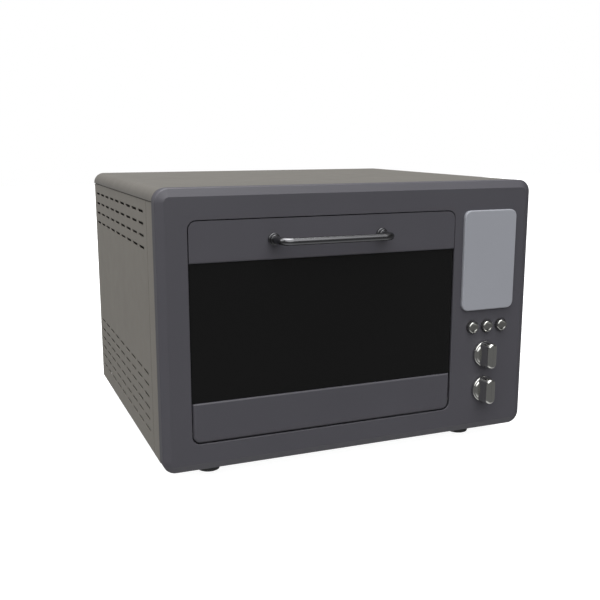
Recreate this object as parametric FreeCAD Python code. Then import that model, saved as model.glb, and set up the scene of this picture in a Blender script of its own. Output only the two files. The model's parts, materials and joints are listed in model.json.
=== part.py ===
import FreeCAD, Part
import math
import os

V = FreeCAD.Vector

# Countertop toaster oven. Millimetres, +Z up, +X to the right, the front looks towards -Y.
# Below, Y is counted from the flat front face and Z from the surface the feet stand on.
# save() shifts every solid along Y, so that the origin is under the middle of the whole oven.

# ---------------------------------------------------------------- overall size
width = 500.0
height = 352.0
depth = 425.0
foot_clearance = 18.5
casing_lift = 9.5
sheet = 1.0
gap = 0.3
slip = 0.05

# ---------------------------------------------------------------- front bezel
bezel_depth = 19.5
bezel_wall = 2.5
bezel_face = 3.0
bezel_bevel_width = 9.5
bezel_bevel_depth = 5.0
bezel_rim_round = 1.8
bezel_inner_round = 8.0
opening_edge_round = 0.7
bezel_corner_round = 16.0

# ---------------------------------------------------------------- door
door_left_margin = 36.2
door_right_margin = 116.3
door_lower_margin = 34.3
door_upper_margin = 37.1
door_gap = 1.0
door_corner_round = 9.5
door_skin = 2.2
rail_depth = 13.0
upper_strip = 48.2
lower_strip = 48.9
glass_thickness = 4.0
glass_recess = 2.4
glass_tuck = 8.0
channel_width = 10.0
inner_frame_depth = 7.0
inner_frame_sheet = 1.2
inner_frame_inset = 2.0
inner_frame_lower_inset = 5.5
inner_frame_border = 34.0
inner_glass_cover = 10.0
pivot_depth = 7.0
pivot_rise = 12.0
door_lower_round = 4.0
door_edge_round = 1.9
pin_radius = 3.0
pin_in_door = 14.0
pin_in_bracket = 5.0
arm_radius = 40.0
arm_width = 7.0
arm_lug = 12.0
arm_sheet = 2.0
arm_inset = 2.8
arm_foot = 1.5
arm_foot_width = 4.5
arm_slot_play = 1.5

# ---------------------------------------------------------------- handle
handle_span = 141.0
handle_shift = -1.5
handle_radius = 4.4
handle_reach = 32.0
handle_bend = 11.0
flange_radius = 7.3
flange_step_radius = 5.9
flange_length = 8.0
flange_base = 3.2
screw_radius = 1.65
screw_head_radius = 3.4
screw_head = 2.0
screw_hold = 11.0

# ---------------------------------------------------------------- control strip
control_inset = 63.7
display_width = 78.8
display_height = 130.8
display_proud = 4.0
display_corner_round = 9.5
display_edge_round = 1.6
display_border = 4.0
button_radius = 7.4
button_pitch = 22.2
button_proud = 6.0
button_travel = 1.5
button_drop = 22.6
button_shift = 1.2
button_well = 9.6
button_well_depth = 1.0
button_flange = 1.6
button_stem_radius = 3.0
button_stem = 10.5
knob_radius = 17.3
knob_disc_back = 1.0
knob_disc_front = 8.0
knob_front = 21.0
knob_grip_width = 12.8
knob_pitch = 48.4
knob_drop = 37.5
knob_shaft_radius = 3.0
board_y = 16.0
board_sheet = 1.6
encoder_body = 12.4
encoder_depth = 6.5
encoder_nose_radius = 4.1
switch_body = 6.2

# ---------------------------------------------------------------- casing
cover_round = 15.0
cover_side_drop = 15.0
cover_step = 0.3
side_step = 0.8
seam_gap = 1.2
rail_sheet = 1.2
rail_leg = 12.0
rail_lap = 3.5
baffle_sheet = 0.8
baffle_inset = 14.0
baffle_flange = 10.0
baffle_front = 62.0
baffle_rear_margin = 14.0
baffle_top_drop = 32.0
crease_from_front = 52.0
crease_width = 1.2
crease_depth = 0.4
vent_length = 28.0
vent_height = 3.3
vent_pitch_y = 39.0
vent_pitch_z = 14.5
vent_front = 84.5
vent_rear_margin = 27.0
upper_vent_rows = 4
upper_vent_drop = 30.5
lower_vent_rows = 6
lower_vent_rise = 23.0
foot_inset_x = 68.0
foot_inset_y = 51.0
foot_top_radius = 16.5
foot_bottom_radius = 14.0
foot_stem_radius = 4.0
foot_stem = 7.0
spacer_reach = 8.0
spacer_radius = 11.0
gland_radius = 9.0
gland_bore_radius = 3.75
gland_from_right = 42.0
gland_rise = 32.0

# ---------------------------------------------------------------- cooking space
frame_y = 22.5
frame_sheet = 1.2
seal_width = 5.0
seal_margin = 1.5
cavity_inset_left = 14.8
cavity_inset_right = 14.7
cavity_floor_rise = 20.2
cavity_top_drop = 14.9
cavity_depth = 322.0
ledge_width = 8.0
ledge_sheet = 2.0
ledge_rises = (42.0, 88.0, 134.0)
heater_radius = 3.3
heater_rise = 13.0
heater_drop = 13.0
heater_front = 88.0
heater_pitch = 140.0
insulator_radius = 6.0
insulator_flange_radius = 8.5
insulator_flange = 3.0
insulator_reach = 7.0
rack_wire = 4.4
rack_cross_wire = 2.8
rack_cross_lift = 0.6
rack_cross_pitch = 21.0
rack_corner = 12.0
rack_play = 1.5
inset_from_frame = 7.0
rear_clearance = 4.0
tray_sheet = 0.9
tray_drop = 20.0
tray_corner = 20.0
tray_play = 1.2
crumb_lip = 3.5

# ---------------------------------------------------------------- convection fan
fan_cover_width = 210.0
fan_cover_height = 140.0
fan_cover_depth = 23.0
fan_cover_round = 18.0
fan_radius = 52.0
fan_blades = 10
fan_blade_depth = 11.0
fan_blade_sheet = 1.2
fan_hub_radius = 11.0
fan_shaft_radius = 3.0
fan_back_gap = 5.0
motor_radius = 29.0
motor_length = 44.0
motor_standoff = 6.0

# ---------------------------------------------------------------- lamp, probe and electrics
probe_radius = 2.0
probe_brim = 3.5
probe_reach = 42.0
probe_from_front = 262.0
probe_drop = 24.0
probe_lead_hole = 7.0
lamp_radius = 21.0
lamp_depth = 24.0
lamp_bulb_radius = 6.0
lamp_from_front = 205.0
lamp_drop = 50.0
harness_hole = 9.0
harness_inset = 25.0
divider_gap = 8.0
divider_slots = 14
divider_slot_length = 26.0
divider_slot_pitch = 12.0
divider_slot_width = 3.6
divider_slot_rise = 80.0
divider_slot_from_rear = 60.0
board_post = 8.0
board_post_radius = 3.0
power_board_length = 150.0
power_board_height = 120.0
power_board_from_front = 130.0
power_board_rise = 34.0
transformer = (46.0, 38.0, 32.0)
relay = (20.0, 28.0, 16.0)
relay_pitch = 28.0
capacitor_radius = 9.0
capacitor_height = 26.0
component_inset = 16.0
screen_inset = 6.0
screen_leg_inset = 4.0
screen_leg_wall = 3.0
screen_depth = 6.0
control_board_overhang = 4.0
control_board_below = 17.0
control_board_top_inset = 2.0

# ---------------------------------------------------------------- rear and bottom openings
slot_radius_play = 0.01
rear_slot_width = 4.0
rear_slot_height = 32.0
rear_slot_pitch = 9.0
rear_slot_row_pitch = 42.0
rear_screw_inset = 14.0
rear_screw_top_drop = 4.0
control_slots = 8
control_slot_inset = 100.0
control_slot_drop = 70.0
left_slots = 6
left_slot_inset = 40.0
left_slot_drop = 50.0
bottom_slot_length = 30.0
bottom_slot_width = 4.0
bottom_slot_pitch_x = 42.0
bottom_slot_pitch_y = 20.0
spacer_drop = 60.0
left_spacer_inset = 110.0
right_spacer_inset = 150.0

# ---------------------------------------------------------------- derived places
half = width / 2
bezel_z0 = foot_clearance
casing_z0 = foot_clearance + casing_lift
door_x0 = -half + door_left_margin
door_x1 = half - door_right_margin
door_mid = (door_x0 + door_x1) / 2
door_z0 = bezel_z0 + door_lower_margin
door_z1 = height - door_upper_margin
glass_z0 = door_z0 + lower_strip
glass_z1 = door_z1 - upper_strip
glass_back = glass_recess + glass_thickness
inner_face = rail_depth + inner_frame_depth
pivot_y = pivot_depth
pivot_z = door_z0 + pivot_rise
handle_z = (glass_z1 + door_z1) / 2
control_x = half - control_inset
display_z1 = door_z1
display_z0 = display_z1 - display_height
button_z = display_z0 - button_drop
upper_knob_z = button_z - knob_drop
lower_knob_z = upper_knob_z - knob_pitch
cavity_x0 = door_x0 + cavity_inset_left
cavity_x1 = door_x1 - cavity_inset_right
cavity_z0 = pivot_z + cavity_floor_rise
cavity_z1 = door_z1 - cavity_top_drop
cavity_y0 = frame_y + frame_sheet
cavity_y1 = cavity_y0 + cavity_depth
cavity_mid_x = (cavity_x0 + cavity_x1) / 2
cavity_mid_z = (cavity_z0 + cavity_z1) / 2
side_x = half - side_step
cover_z = height - cover_step
cover_edge_z = cover_z - cover_round
panel_y0 = bezel_depth + gap
shelf_y0 = cavity_y0 + inset_from_frame
shelf_y1 = cavity_y1 - fan_cover_depth - rear_clearance
front_reach = handle_reach + handle_radius
origin_y = (depth + spacer_reach - front_reach) / 2


# ---------------------------------------------------------------- shape helpers
def point(axis, a, b, level):
    """A point on the plane at level along axis, with a and b the other two coordinates in order."""
    if axis == "x":
        return V(level, a, b)
    if axis == "y":
        return V(a, level, b)
    return V(a, b, level)


def direction(axis, length=1.0):
    return point(axis, 0.0, 0.0, length)


def outline(axis, a0, a1, b0, b1, level, radius=0.0):
    """A closed rectangle in the plane at level along axis, with round corners when radius is given."""
    if radius <= 0.0:
        corners = [(a0, b0), (a1, b0), (a1, b1), (a0, b1), (a0, b0)]
        return Part.makePolygon([point(axis, a, b, level) for a, b in corners])
    turn = radius * (1.0 - math.sqrt(0.5))
    stops = [
        ((a0 + radius, b0), (a1 - radius, b0)),
        ((a1, b0 + radius), (a1, b1 - radius)),
        ((a1 - radius, b1), (a0 + radius, b1)),
        ((a0, b1 - radius), (a0, b0 + radius)),
    ]
    bends = [(a1 - turn, b0 + turn), (a1 - turn, b1 - turn), (a0 + turn, b1 - turn), (a0 + turn, b0 + turn)]
    edges = []
    for i, (start, end) in enumerate(stops):
        after = stops[(i + 1) % 4][0]
        if math.dist(start, end) > 1e-6:
            edges.append(Part.makeLine(point(axis, *start, level), point(axis, *end, level)))
        bend = Part.Arc(point(axis, *end, level), point(axis, *bends[i], level), point(axis, *after, level))
        edges.append(bend.toShape())
    return Part.Wire(edges)


def plate(axis, a0, a1, b0, b1, low, high, radius=0.0):
    """A block between two levels along axis, with round corners when radius is given."""
    face = Part.Face(outline(axis, a0, a1, b0, b1, low, radius))
    return face.extrude(direction(axis, high - low))


def rod(axis, a, b, low, high, radius):
    """A round bar along axis between two levels."""
    return Part.makeCylinder(radius, high - low, point(axis, a, b, low), direction(axis))


def ring(axis, a, b, low, high, radius, hole):
    return rod(axis, a, b, low, high, radius).cut(rod(axis, a, b, low, high, hole))


def round_level(shape, axis, level, radius):
    """Rounds every edge that lies in the plane at level along axis."""
    chosen = []
    for edge in shape.Edges:
        box = edge.BoundBox
        ends = {"x": (box.XMin, box.XMax), "y": (box.YMin, box.YMax), "z": (box.ZMin, box.ZMax)}[axis]
        if max(abs(ends[0] - level), abs(ends[1] - level)) < 1e-4:
            chosen.append(edge)
    return shape.makeFillet(radius, chosen)


def joined(pieces):
    return pieces[0].fuse(pieces[1:]).removeSplitter()


def mirrored(shape, x):
    """The shape and its mirror image across the plane at x."""
    return [shape, shape.mirror(V(x, 0, 0), V(1, 0, 0))]


def grid(shape, steps):
    """Copies of the shape, one for each (dx, dy, dz)."""
    copies = []
    for step in steps:
        copy = shape.copy()
        copy.translate(V(*step))
        copies.append(copy)
    return Part.makeCompound(copies)


def save(name, shape):
    """Writes one node. A list becomes a group of separate solids."""
    solids = []
    for piece in shape if isinstance(shape, list) else [shape]:
        solids += piece.Solids
    group = solids[0] if len(solids) == 1 else Part.makeCompound(solids)
    group = group.copy()
    group.translate(V(0, -origin_y, 0))
    group.exportStep("parts/" + name + ".step")
    print(name, len(solids), group.isValid(), round(group.Volume / 1000, 1), "cm3")


# ---------------------------------------------------------------- casing
def front_bezel():
    inset = bezel_bevel_width
    front = outline("y", -half + inset, half - inset, bezel_z0 + inset, height - inset, 0,
                    bezel_corner_round - inset)
    rim = outline("y", -half, half, bezel_z0, height, bezel_bevel_depth, bezel_corner_round)
    bevel = Part.makeLoft([front, rim], True, True)
    wall = plate("y", -half, half, bezel_z0, height, bezel_bevel_depth, bezel_depth, bezel_corner_round)
    outer = round_level(joined([bevel, wall]), "y", bezel_bevel_depth, bezel_rim_round)
    wall = bezel_wall
    hollow = plate("y", -half + wall, half - wall, bezel_z0 + wall, height - wall,
                   bezel_face, bezel_depth + 1, bezel_corner_round - wall)
    hollow = round_level(hollow, "y", bezel_face, bezel_inner_round)
    cuts = [hollow]
    cuts.append(plate("y", door_x0 - door_gap, door_x1 + door_gap, door_z0 - door_gap, door_z1 + door_gap,
                      -1, bezel_face + 1, door_corner_round + door_gap))
    inset = display_border - gap
    cuts.append(plate("y", control_x - display_width / 2 + inset, control_x + display_width / 2 - inset,
                      display_z0 + inset, display_z1 - inset, -1, bezel_face + 1,
                      display_corner_round - inset))
    for x in button_places:
        cuts.append(rod("y", x, button_z, -1, bezel_face + 1, button_radius + gap))
        cuts.append(rod("y", x, button_z, -1, button_well_depth, button_well))
    for z in (upper_knob_z, lower_knob_z):
        cuts.append(rod("y", control_x, z, -1, bezel_face + 1, encoder_nose_radius + gap))
    bezel = outer.cut(cuts)
    reach = door_gap + slip
    opening = []
    for edge in bezel.Edges:
        box = edge.BoundBox
        beside = box.XMin > door_x0 - reach and box.XMax < door_x1 + reach
        level = box.ZMin > door_z0 - reach and box.ZMax < door_z1 + reach
        if beside and level and box.YMax < 1e-4:
            opening.append(edge)
    return bezel.makeFillet(opening_edge_round, opening)


def top_cover():
    """A sheet with both long edges rolled down over the side panels."""
    outer = plate("y", -half, half, cover_edge_z - cover_round, cover_z, panel_y0, depth, cover_round)
    inner = plate("y", -half + sheet, half - sheet, cover_edge_z - cover_round, cover_z - sheet,
                  panel_y0 - 1, depth + 1, cover_round - sheet)
    below = plate("y", -half - 1, half + 1, cover_edge_z - 2 * cover_round, cover_z - cover_side_drop,
                  panel_y0 - 1, depth + 1)
    return outer.cut([inner, below])


def vent_slots(x):
    """The two fields of horizontal cooling slots in a side panel."""
    slot = plate("x", -vent_length / 2, vent_length / 2, -vent_height / 2, vent_height / 2,
                 x - 2 * sheet, x + 2 * sheet, vent_height / 2 - 0.001)
    columns = int((depth - vent_front - vent_rear_margin) / vent_pitch_y) + 1
    rows = [height - upper_vent_drop - i * vent_pitch_z for i in range(upper_vent_rows)]
    rows += [casing_z0 + lower_vent_rise + i * vent_pitch_z for i in range(lower_vent_rows)]
    return grid(slot, [(0, vent_front + j * vent_pitch_y, z) for z in rows for j in range(columns)])


def side_panel(side):
    """A flat vented sheet with one upright crease near the front; side is -1 or 1."""
    outer = side * side_x
    inner = outer - side * sheet
    panel = plate("x", panel_y0, depth, casing_z0, cover_z - cover_side_drop - seam_gap, min(outer, inner),
                  max(outer, inner))
    groove = outer - side * crease_depth
    crease = plate("x", crease_from_front, crease_from_front + crease_width, casing_z0 - 1, height,
                   min(groove, outer + side), max(groove, outer + side))
    return panel.cut([vent_slots(outer), crease])


def roof_rails():
    """Upright strips behind the seam between the top cover and each side panel."""
    x = side_x - sheet - gap
    top = cover_z - cover_side_drop
    strip = plate("x", cavity_y0, depth - 2 * sheet, top - rail_leg, top + rail_lap, x - rail_sheet, x)
    flange = plate("x", cavity_y0, depth - 2 * sheet, top - rail_leg, top - rail_leg + rail_sheet,
                   x - rail_leg, x)
    return mirrored(joined([strip, flange]), 0)


def vent_baffles():
    """A dark sheet behind each side panel's vents, standing on the bottom plate by its flange."""
    x = side_x - sheet - baffle_inset
    floor = casing_z0 + sheet
    y0, y1 = baffle_front, depth - baffle_rear_margin
    wall = plate("x", y0, y1, floor, height - baffle_top_drop, x - baffle_sheet, x)
    flange = plate("x", y0, y1, floor, floor + baffle_sheet, x - baffle_flange, x)
    return mirrored(joined([wall, flange]), 0)


rear_y = depth - sheet


def rear_panel():
    panel = plate("y", -side_x + sheet + gap, side_x - sheet - gap, casing_z0 + sheet + gap,
                  cover_z - sheet - gap, rear_y, depth, cover_round - sheet - gap)
    across, up = rear_slot_width / 2, rear_slot_height / 2
    slot = plate("y", -across, across, -up, up, rear_y - 1, depth + 1, across - slot_radius_play)
    step, row = rear_slot_pitch, rear_slot_row_pitch
    places = [(cavity_mid_x + i * step, 0, cavity_mid_z + j * row) for i in range(-8, 9) for j in (-1, 0, 1)]
    places += [(half - control_slot_inset + i * step, 0, height - control_slot_drop - j * row)
               for i in range(control_slots) for j in (0, 1)]
    places += [(-half + left_slot_inset + i * step, 0, height - left_slot_drop) for i in range(left_slots)]
    holes = [grid(slot, places), rod("y", gland_x, gland_z, rear_y - 1, depth + 1, gland_radius - 2)]
    for x, z in rear_screw_places:
        holes.append(rod("y", x, z, rear_y - 1, depth + 1, screw_radius + slip))
    for x in spacer_places:
        holes.append(rod("y", x, spacer_z, rear_y - 1, depth + 1, screw_radius + slip))
    return panel.cut(holes)


def rear_frame_points():
    inset = rear_screw_inset
    xs = (-side_x + inset, 0.0, side_x - inset)
    return [(x, z) for x in xs for z in (casing_z0 + inset, cover_z - inset - rear_screw_top_drop)]


def screw(axis, a, b, seat, out):
    """A pan-head screw whose head rests on the level seat and looks towards out (-1 or 1)."""
    head_end = seat + out * screw_head
    tip = seat - out * screw_hold
    head = rod(axis, a, b, min(seat, head_end), max(seat, head_end), screw_head_radius)
    head = round_level(head, axis, head_end, screw_head * 0.4)
    shank = rod(axis, a, b, min(seat, tip), max(seat, tip), screw_radius)
    low, high = sorted((head_end, head_end - out * screw_head * 0.55))
    cross = [plate(axis, a - 1.7, a + 1.7, b - 0.4, b + 0.4, low, high),
             plate(axis, a - 0.4, a + 0.4, b - 1.7, b + 1.7, low, high)]
    return joined([head, shank]).cut(cross)


def rear_screws():
    return [screw("y", x, z, depth, 1) for x, z in rear_screw_places]


def rear_spacers():
    """Stepped buttons that hold the oven off the wall behind it."""
    spacers = []
    for x in spacer_places:
        base = rod("y", x, spacer_z, depth, depth + spacer_reach, spacer_radius * 0.7)
        brim = rod("y", x, spacer_z, depth, depth + 2.0, spacer_radius)
        peg = rod("y", x, spacer_z, rear_y - 4.0, depth, screw_radius)
        base = round_level(base, "y", depth + spacer_reach, 1.2)
        spacers.append(joined([base, brim, peg]))
    return spacers


def cable_gland():
    body = rod("y", gland_x, gland_z, rear_y - 6.0, depth + 3.0, gland_radius - 2 - slip)
    brim = rod("y", gland_x, gland_z, depth, depth + 3.0, gland_radius)
    brim = round_level(brim, "y", depth + 3.0, 1.0)
    nut = rod("y", gland_x, gland_z, rear_y - 4.5, rear_y, gland_radius - 0.5)
    bore = rod("y", gland_x, gland_z, rear_y - 7.0, depth + 4.0, gland_bore_radius)
    return joined([body, brim, nut]).cut(bore)


def bottom_plate():
    panel = plate("z", -side_x + sheet + gap, side_x - sheet - gap, panel_y0, depth - sheet - gap,
                  casing_z0, casing_z0 + sheet)
    along, across = bottom_slot_length / 2, bottom_slot_width / 2
    slot = plate("z", -along, along, -across, across, casing_z0 - 1, casing_z0 + sheet + 1,
                 across - slot_radius_play)
    places = [(i * bottom_slot_pitch_x, depth / 2 + j * bottom_slot_pitch_y, 0)
              for i in range(-3, 4) for j in range(-3, 4)]
    holes = [grid(slot, places)]
    holes += [rod("z", x, y, casing_z0 - 1, casing_z0 + sheet + 1, foot_stem_radius + slip)
              for x, y in foot_places]
    return panel.cut(holes)


def feet():
    """Four tapered rubber feet pushed into the bottom plate by a stem."""
    group = []
    for x, y in foot_places:
        cone = Part.makeCone(foot_bottom_radius, foot_top_radius, casing_z0, V(x, y, 0))
        cone = round_level(cone, "z", 0, 1.5)
        stem = rod("z", x, y, casing_z0, casing_z0 + foot_stem, foot_stem_radius)
        group.append(joined([cone, stem]))
    return group


# ---------------------------------------------------------------- cooking space
def front_frame():
    """The steel wall behind the bezel, open at the cooking space, slotted for the door arms."""
    edge = sheet + 2 * gap
    frame = plate("y", -side_x + edge, side_x - edge, casing_z0 + edge, cover_z - edge,
                  frame_y, cavity_y0, cover_round - edge)
    holes = [plate("y", cavity_x0, cavity_x1, cavity_z0, cavity_z1, frame_y - 1, cavity_y0 + 1)]
    near = math.sqrt((arm_radius - arm_width / 2) ** 2 - (cavity_y0 - pivot_y) ** 2)
    far = math.sqrt((arm_radius + arm_width / 2) ** 2 - (frame_y - pivot_y) ** 2)
    for x in arm_places:
        holes.append(plate("y", x - arm_slot_play, x + arm_sheet + arm_slot_play,
                           pivot_z + near - arm_slot_play, pivot_z + far + arm_slot_play,
                           frame_y - 1, cavity_y0 + 1))
    holes.append(rod("y", control_x + harness_inset, display_z0 - harness_hole, frame_y - 1, cavity_y0 + 1,
                     harness_hole))
    return frame.cut(holes)


def door_seal():
    x0, x1 = cavity_x0 - seal_margin, cavity_x1 + seal_margin
    z0, z1 = cavity_z0 - seal_margin, cavity_z1 + seal_margin
    outer = plate("y", x0 - seal_width, x1 + seal_width, z0 - seal_width, z1 + seal_width,
                  inner_face + gap, frame_y, 8.0)
    return outer.cut(plate("y", x0, x1, z0, z1, inner_face, frame_y + 1, 4.0))


def cavity_floor():
    return plate("z", cavity_x0, cavity_x1, cavity_y0, cavity_y1, cavity_z0 - sheet, cavity_z0)


def cavity_ceiling():
    return plate("z", cavity_x0, cavity_x1, cavity_y0, cavity_y1, cavity_z1, cavity_z1 + sheet)


def cavity_side(x, out):
    """One side wall, pierced for the heater ends; out is -1 on the left and 1 on the right."""
    wall = plate("x", cavity_y0, cavity_y1, cavity_z0 - sheet, cavity_z1 + sheet,
                 min(x, x + out * sheet), max(x, x + out * sheet))
    holes = [rod("x", y, z, x - 2, x + 2, insulator_radius + slip) for y, z in heater_places]
    if out > 0:
        holes.append(rod("x", lamp_y, lamp_z, x - 2, x + 2, lamp_radius - 4.0))
        holes.append(rod("x", probe_y, probe_z, x - 2, x + 2, probe_radius + slip))
    return wall.cut(holes)


def cavity_back_wall():
    wall = plate("y", cavity_x0 - sheet, cavity_x1 + sheet, cavity_z0 - sheet, cavity_z1 + sheet,
                 cavity_y1, cavity_y1 + sheet)
    return wall.cut(rod("y", fan_x, fan_z, cavity_y1 - 1, cavity_y1 + 2, fan_shaft_radius + 2.0))


def rack_guides():
    """Three ledges on each side wall for the rack and the tray."""
    ledges = []
    for rise in ledge_rises:
        top = cavity_z0 + rise
        ledge = plate("x", cavity_y0 + 2, shelf_y1, top - ledge_sheet, top, cavity_x0, cavity_x0 + ledge_width)
        ledges += mirrored(ledge, cavity_mid_x)
    return ledges


def heaters(z):
    """Two sheathed heating rods right across the cooking space, each with a thin terminal."""
    rods = []
    for y in (heater_front, heater_front + heater_pitch):
        bar = rod("x", y, z, cavity_x0 - insulator_reach - 4, cavity_x1 + insulator_reach + 4, heater_radius)
        pin = rod("x", y, z, cavity_x0 - insulator_reach - 11, cavity_x1 + insulator_reach + 11, 1.3)
        rods.append(joined([bar, pin]))
    return rods


def heater_insulators():
    """A flanged ceramic bush at each heater end."""
    group = []
    for y, z in heater_places:
        body = rod("x", y, z, cavity_x0 - insulator_reach, cavity_x0 + insulator_flange, insulator_radius)
        brim = rod("x", y, z, cavity_x0, cavity_x0 + insulator_flange, insulator_flange_radius)
        bush = joined([body, brim]).cut(rod("x", y, z, cavity_x0 - 20, cavity_x0 + 20, heater_radius + slip))
        group += mirrored(bush, cavity_mid_x)
    return group


def temperature_probe():
    tip = rod("x", probe_y, probe_z, cavity_x1 - probe_reach, cavity_x1 + divider_gap, probe_radius)
    tip = round_level(tip, "x", cavity_x1 - probe_reach, probe_radius * 0.8)
    brim = rod("x", probe_y, probe_z, cavity_x1 + sheet, cavity_x1 + sheet + 2.5, probe_radius + probe_brim)
    return joined([tip, brim])


def lamp_lens():
    lens = rod("x", lamp_y, lamp_z, cavity_x1 - 5.0, cavity_x1, lamp_radius)
    return round_level(lens, "x", cavity_x1 - 5.0, 4.0)


def lamp_holder():
    """The lamp's cup outside the right-hand wall, with the bulb standing in it."""
    x = cavity_x1 + sheet
    cup = ring("x", lamp_y, lamp_z, x, x + lamp_depth, lamp_radius - 2, lamp_radius - 3.5)
    base = rod("x", lamp_y, lamp_z, x + lamp_depth, x + lamp_depth + 1.5, lamp_radius - 2)
    bulb = rod("x", lamp_y, lamp_z, x + 4, x + lamp_depth, lamp_bulb_radius)
    bulb = round_level(bulb, "x", x + 4, lamp_bulb_radius - 1)
    return joined([cup, base, bulb])


def fan_cover():
    """A dished plate over the fan, with radial intake slots and outlet slots along both ends."""
    x, z = fan_x, fan_z
    front = cavity_y1 - fan_cover_depth
    shell = plate("y", x - fan_cover_width / 2, x + fan_cover_width / 2, z - fan_cover_height / 2,
                  z + fan_cover_height / 2, front, cavity_y1, fan_cover_round)
    shell = round_level(shell, "y", front, 3.0)
    hollow = plate("y", x - fan_cover_width / 2 + sheet, x + fan_cover_width / 2 - sheet,
                   z - fan_cover_height / 2 + sheet, z + fan_cover_height / 2 - sheet,
                   front + sheet, cavity_y1 + 1, fan_cover_round - sheet)
    hollow = round_level(hollow, "y", front + sheet, 2.0)
    intake = plate("y", x - 2.2, x + 2.2, z + 16, z + 46, front - 1, front + 4, 2.19)
    cuts = [hollow]
    for i in range(16):
        blade = intake.copy()
        blade.rotate(V(x, 0, z), V(0, 1, 0), i * 22.5)
        cuts.append(blade)
    for side in (-1, 1):
        for i in range(-4, 5):
            outlet = fan_cover_width / 2 - 24.0
            cuts.append(plate("y", x + side * outlet - 12, x + side * outlet + 12, z + i * 12 - 1.8,
                              z + i * 12 + 1.8, front - 1, front + 4, 1.79))
    return shell.cut(cuts)


def fan_motor():
    y = cavity_y1 + sheet
    body = rod("y", fan_x, fan_z, y + motor_standoff, y + motor_standoff + motor_length, motor_radius)
    body = round_level(body, "y", y + motor_standoff + motor_length, 4.0)
    ear = plate("y", fan_x - motor_radius - 9, fan_x + motor_radius + 9, fan_z - 8, fan_z + 8,
                y + motor_standoff, y + motor_standoff + 2.5, 6.0)
    posts = [rod("y", fan_x + side * (motor_radius + 3), fan_z, y, y + motor_standoff, 3.0)
             for side in (-1, 1)]
    bore = rod("y", fan_x, fan_z, y, y + motor_standoff + motor_length / 2, fan_shaft_radius + slip)
    return joined([body, ear] + posts).cut(bore)


def fan_wheel():
    """The fan, its hub and the shaft that runs in the motor."""
    y1 = cavity_y1 - fan_back_gap
    y0 = y1 - fan_blade_depth
    disc = rod("y", fan_x, fan_z, y1 - sheet, y1, fan_radius)
    hub = rod("y", fan_x, fan_z, y0, y1, fan_hub_radius)
    motor_front = cavity_y1 + sheet + motor_standoff
    shaft = rod("y", fan_x, fan_z, y0 - 2, motor_front + motor_length / 2 - 2, fan_shaft_radius)
    pieces = [disc, hub, shaft]
    for i in range(fan_blades):
        blade = plate("y", fan_x + fan_hub_radius + 8, fan_x + fan_radius - 1, fan_z - fan_blade_sheet / 2,
                      fan_z + fan_blade_sheet / 2, y0, y1 - sheet)
        blade.rotate(V(fan_x + fan_radius, 0, fan_z), V(0, 1, 0), 18.0)
        blade.rotate(V(fan_x, 0, fan_z), V(0, 1, 0), i * 360.0 / fan_blades)
        pieces.append(blade)
    return joined(pieces)


def insulation():
    """Mineral wool over the ceiling and outside the left wall, clear of the heater ends."""
    over = plate("z", cavity_x0 + 4, cavity_x1 - 4, cavity_y0 + 16, cavity_y1 - 10, cavity_z1 + sheet + gap,
                 cavity_z1 + sheet + 11, 4.0)
    wall_x = cavity_x0 - sheet - gap
    beside = plate("x", cavity_y0 + arm_radius + 16, cavity_y1 - 10, cavity_z0 + 26, cavity_z1 - 26,
                   wall_x - 8, wall_x, 4.0)
    return [over, beside]


def divider_shield():
    """The upright wall between the cooking space and the electrics."""
    wall = plate("x", cavity_y0 + gap, rear_y - gap, casing_z0 + sheet + gap, cover_z - cover_side_drop,
                 divider_x, divider_x + sheet)
    holes = [rod("x", lamp_y, lamp_z, divider_x - 1, divider_x + sheet + 1, lamp_radius),
             rod("x", probe_y, probe_z, divider_x - 1, divider_x + sheet + 1, probe_lead_hole)]
    along, across = divider_slot_length / 2, divider_slot_width / 2
    slot = plate("x", -along, along, -across, across, divider_x - 1, divider_x + sheet + 1,
                 across - slot_radius_play)
    holes.append(grid(slot, [(0, depth - divider_slot_from_rear, divider_slot_rise + i * divider_slot_pitch)
                             for i in range(divider_slots)]))
    return wall.cut(holes)


# ---------------------------------------------------------------- controls
def display_window():
    """The smooth pane over the display, proud of the bezel, with a boss through the bezel."""
    x0, x1 = control_x - display_width / 2, control_x + display_width / 2
    pane = plate("y", x0, x1, display_z0, display_z1, -display_proud, 0, display_corner_round)
    pane = round_level(pane, "y", -display_proud, display_edge_round)
    boss = plate("y", x0 + display_border, x1 - display_border, display_z0 + display_border,
                 display_z1 - display_border, 0, bezel_face, display_corner_round - display_border)
    return joined([pane, boss])


def display_module():
    back = bezel_face + screen_depth

    def block(inset, low, high, radius=0.0):
        across = display_width / 2 - inset
        return plate("y", control_x - across, control_x + across, display_z0 + inset, display_z1 - inset,
                     low, high, radius)
    screen = block(screen_inset, bezel_face + gap, back, 2.0)
    legs = block(screen_inset + screen_leg_inset, back, board_y)
    hollow = block(screen_inset + screen_leg_inset + screen_leg_wall, back, board_y + 1)
    return joined([screen, legs.cut(hollow)])


def control_board():
    across = display_width / 2
    board = plate("y", control_x - across + 1, control_x + across + control_board_overhang,
                  lower_knob_z - control_board_below, display_z1 - control_board_top_inset,
                  board_y, board_y + board_sheet, 2.0)
    chips = [plate("y", control_x - 8, control_x + 8, upper_knob_z + 14, upper_knob_z + 24,
                   board_y + board_sheet, board_y + board_sheet + 1.8),
             plate("y", control_x + 22, control_x + 34, lower_knob_z - 6, lower_knob_z + 22,
                   board_y + board_sheet, board_y + board_sheet + 3.5)]
    return joined([board] + chips)


def button_switches():
    """One push switch behind each button, on the board."""
    face = button_stem + button_travel + 0.2
    return [plate("y", x - switch_body / 2, x + switch_body / 2, button_z - switch_body / 2,
                  button_z + switch_body / 2, face, board_y, 0.8) for x in button_places]


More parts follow.
